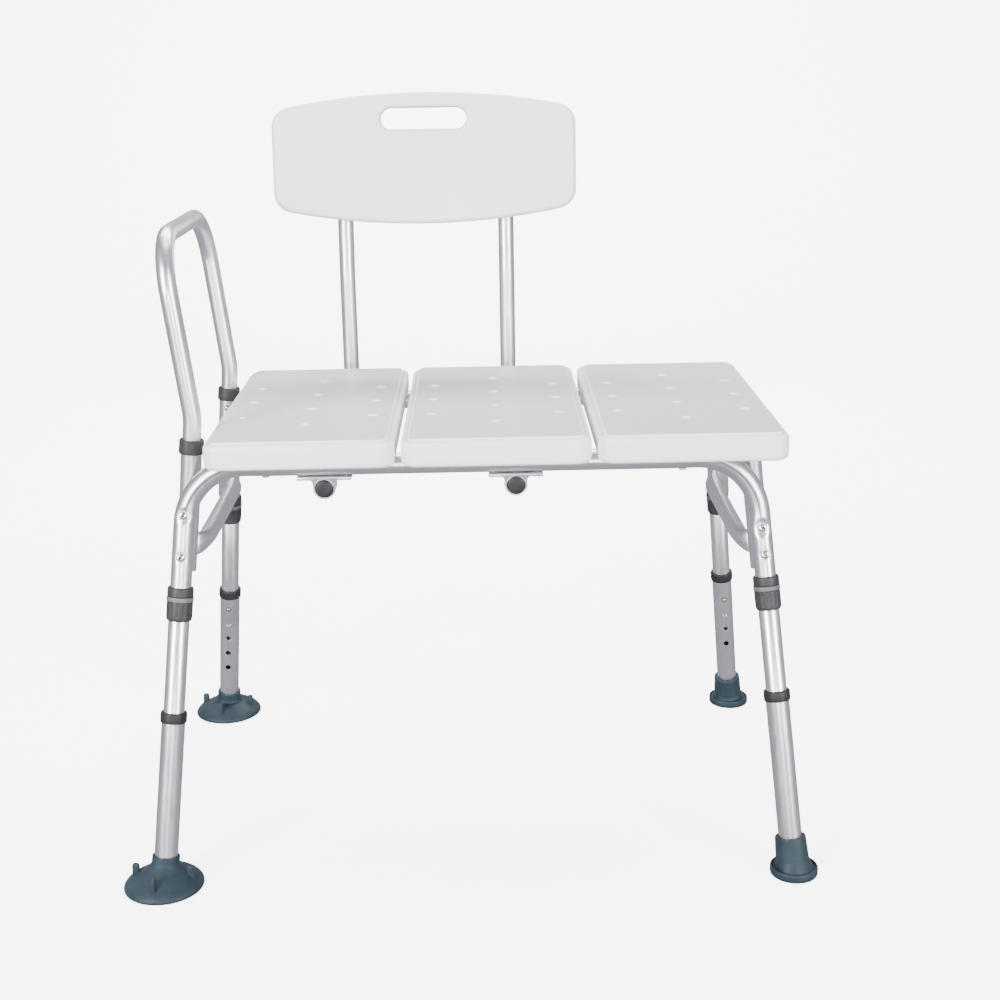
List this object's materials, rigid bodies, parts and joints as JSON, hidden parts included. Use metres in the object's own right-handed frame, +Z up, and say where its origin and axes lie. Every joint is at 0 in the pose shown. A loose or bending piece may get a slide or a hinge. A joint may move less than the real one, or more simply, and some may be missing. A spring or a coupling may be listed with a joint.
{
  "type": "bath transfer bench",
  "caption": "Bath transfer bench with a slatted moulded seat, slide-out backrest, lift-out arm rail and splayed telescopic legs on suction and rubber feet.",
  "frame": {"origin": "centre of the bounding box's bottom, on the floor between the four feet", "axes": "+Z up, +X along the seat towards the end without the arm rail, -Y towards the open front, +Y towards the backrest"},
  "size_m": [0.8522, 0.615, 0.9225],
  "materials": {
    "moulded_white": "off-white blow-moulded polyethylene, fine satin grain",
    "anodised_tube": "satin clear-anodised aluminium tube",
    "dark_plastic": "dark grey moulded nylon",
    "light_grey_plastic": "mid grey moulded acetal",
    "copper_button": "copper-toned plated spring clip",
    "steel_fastener": "bright zinc-plated steel",
    "slate_rubber": "matt slate blue-grey rubber"
  },
  "bodies": {
    "frame": {"front_rail": "anodised_tube", "rear_rail": "anodised_tube", "socket_front_left": "anodised_tube", "socket_rear_left": "anodised_tube", "support_front_right": "anodised_tube", "support_rear_right": "anodised_tube", "arm_ring_front": "dark_plastic", "arm_ring_rear": "dark_plastic", "side_brace_left": "anodised_tube", "side_brace_right": "anodised_tube", "leg_screw_left_upper": "steel_fastener", "leg_screw_left_lower": "steel_fastener", "leg_screw_right_upper": "steel_fastener", "leg_screw_right_lower": "steel_fastener", "seat_panel_left": "moulded_white", "seat_panel_middle": "moulded_white", "seat_panel_right": "moulded_white", "saddle_front_left": "anodised_tube", "saddle_front_right": "anodised_tube", "saddle_rear_left": "anodised_tube", "saddle_rear_right": "anodised_tube", "collar_front_left": "dark_plastic", "collar_front_right": "dark_plastic", "collar_rear_left": "dark_plastic", "collar_rear_right": "dark_plastic"},
    "clip_front_left": {"release_clip_front_left": "light_grey_plastic"},
    "leg_front_left": {"leg_tube_front_left": "anodised_tube"},
    "snap_front_left": {"snap_button_front_left": "copper_button"},
    "lower_front_left": {"lower_tube_front_left": "anodised_tube", "lower_ring_front_left": "dark_plastic", "suction_foot_front_left": "slate_rubber"},
    "clip_front_right": {"release_clip_front_right": "light_grey_plastic"},
    "leg_front_right": {"leg_tube_front_right": "anodised_tube"},
    "snap_front_right": {"snap_button_front_right": "copper_button"},
    "lower_front_right": {"lower_tube_front_right": "anodised_tube", "lower_ring_front_right": "dark_plastic", "rubber_tip_front_right": "slate_rubber"},
    "clip_rear_left": {"release_clip_rear_left": "light_grey_plastic"},
    "leg_rear_left": {"leg_tube_rear_left": "anodised_tube"},
    "snap_rear_left": {"snap_button_rear_left": "copper_button"},
    "lower_rear_left": {"lower_tube_rear_left": "anodised_tube", "lower_ring_rear_left": "dark_plastic", "suction_foot_rear_left": "slate_rubber"},
    "clip_rear_right": {"release_clip_rear_right": "light_grey_plastic"},
    "leg_rear_right": {"leg_tube_rear_right": "anodised_tube"},
    "snap_rear_right": {"snap_button_rear_right": "copper_button"},
    "lower_rear_right": {"lower_tube_rear_right": "anodised_tube", "lower_ring_rear_right": "dark_plastic", "rubber_tip_rear_right": "slate_rubber"},
    "arm": {"arm_rail": "anodised_tube"},
    "arm_button_front": {"arm_button_front": "steel_fastener"},
    "arm_button_rear": {"arm_button_rear": "steel_fastener"},
    "backrest": {"backrest_panel": "moulded_white", "back_tube_left": "anodised_tube", "back_tube_right": "anodised_tube", "back_tube_cap_left": "dark_plastic", "back_tube_cap_right": "dark_plastic"}
  },
  "joints": [
    {"name": "leg_pull_front_left", "type": "slide", "parent": "frame", "child": "leg_front_left", "axis": [-0.0953, -0.1665, -0.9814], "range_m": [0, 0.045]},
    {"name": "height_front_left", "type": "slide", "parent": "leg_front_left", "child": "lower_front_left", "axis": [0.0953, 0.1665, 0.9814], "range_m": [0, 0.1016], "deforming": ["snap_button_front_left"]},
    {"name": "snap_press_front_left", "type": "slide", "parent": "leg_front_left", "child": "snap_front_left", "axis": [0.0161, -0.986, 0.1658], "range_m": [0, 0.0045], "stiffness_N_per_m": 900, "springref_m": -0.001},
    {"name": "clip_press_front_left", "type": "slide", "parent": "frame", "child": "clip_front_left", "axis": [0.0161, -0.986, 0.1658], "range_m": [0, 0.0016], "stiffness_N_per_m": 900, "springref_m": -0.001},
    {"name": "leg_pull_front_right", "type": "slide", "parent": "frame", "child": "leg_front_right", "axis": [0.0953, -0.1665, -0.9814], "range_m": [0, 0.045]},
    {"name": "height_front_right", "type": "slide", "parent": "leg_front_right", "child": "lower_front_right", "axis": [-0.0953, 0.1665, 0.9814], "range_m": [0, 0.0762], "deforming": ["snap_button_front_right"]},
    {"name": "snap_press_front_right", "type": "slide", "parent": "leg_front_right", "child": "snap_front_right", "axis": [-0.0161, -0.986, 0.1658], "range_m": [0, 0.0045], "stiffness_N_per_m": 900, "springref_m": -0.001},
    {"name": "clip_press_front_right", "type": "slide", "parent": "frame", "child": "clip_front_right", "axis": [-0.0161, -0.986, 0.1658], "range_m": [0, 0.0016], "stiffness_N_per_m": 900, "springref_m": -0.001},
    {"name": "leg_pull_rear_left", "type": "slide", "parent": "frame", "child": "leg_rear_left", "axis": [-0.0953, 0.1665, -0.9814], "range_m": [0, 0.045]},
    {"name": "height_rear_left", "type": "slide", "parent": "leg_rear_left", "child": "lower_rear_left", "axis": [0.0953, -0.1665, 0.9814], "range_m": [0, 0.1016], "deforming": ["snap_button_rear_left"]},
    {"name": "snap_press_rear_left", "type": "slide", "parent": "leg_rear_left", "child": "snap_rear_left", "axis": [0.0161, 0.986, 0.1658], "range_m": [0, 0.0045], "stiffness_N_per_m": 900, "springref_m": -0.001},
    {"name": "clip_press_rear_left", "type": "slide", "parent": "frame", "child": "clip_rear_left", "axis": [0.0161, 0.986, 0.1658], "range_m": [0, 0.0016], "stiffness_N_per_m": 900, "springref_m": -0.001},
    {"name": "leg_pull_rear_right", "type": "slide", "parent": "frame", "child": "leg_rear_right", "axis": [0.0953, 0.1665, -0.9814], "range_m": [0, 0.045]},
    {"name": "height_rear_right", "type": "slide", "parent": "leg_rear_right", "child": "lower_rear_right", "axis": [-0.0953, -0.1665, 0.9814], "range_m": [0, 0.0762], "deforming": ["snap_button_rear_right"]},
    {"name": "snap_press_rear_right", "type": "slide", "parent": "leg_rear_right", "child": "snap_rear_right", "axis": [-0.0161, 0.986, 0.1658], "range_m": [0, 0.0045], "stiffness_N_per_m": 900, "springref_m": -0.001},
    {"name": "clip_press_rear_right", "type": "slide", "parent": "frame", "child": "clip_rear_right", "axis": [-0.0161, 0.986, 0.1658], "range_m": [0, 0.0016], "stiffness_N_per_m": 900, "springref_m": -0.001},
    {"name": "arm_lift", "type": "slide", "parent": "frame", "child": "arm", "axis": [0.0966, 0, 0.9953], "range_m": [0, 0.05], "deforming": ["arm_button_front", "arm_button_rear"]},
    {"name": "arm_button_press_front", "type": "slide", "parent": "arm", "child": "arm_button_front", "axis": [0, -1, 0], "range_m": [0, 0.0042], "stiffness_N_per_m": 900, "springref_m": -0.001},
    {"name": "arm_button_press_rear", "type": "slide", "parent": "arm", "child": "arm_button_rear", "axis": [0, 1, 0], "range_m": [0, 0.0042], "stiffness_N_per_m": 900, "springref_m": -0.001},
    {"name": "backrest_slide", "type": "slide", "parent": "frame", "child": "backrest", "axis": [0, 1, 0], "range_m": [0, 0.4]}
  ]
}
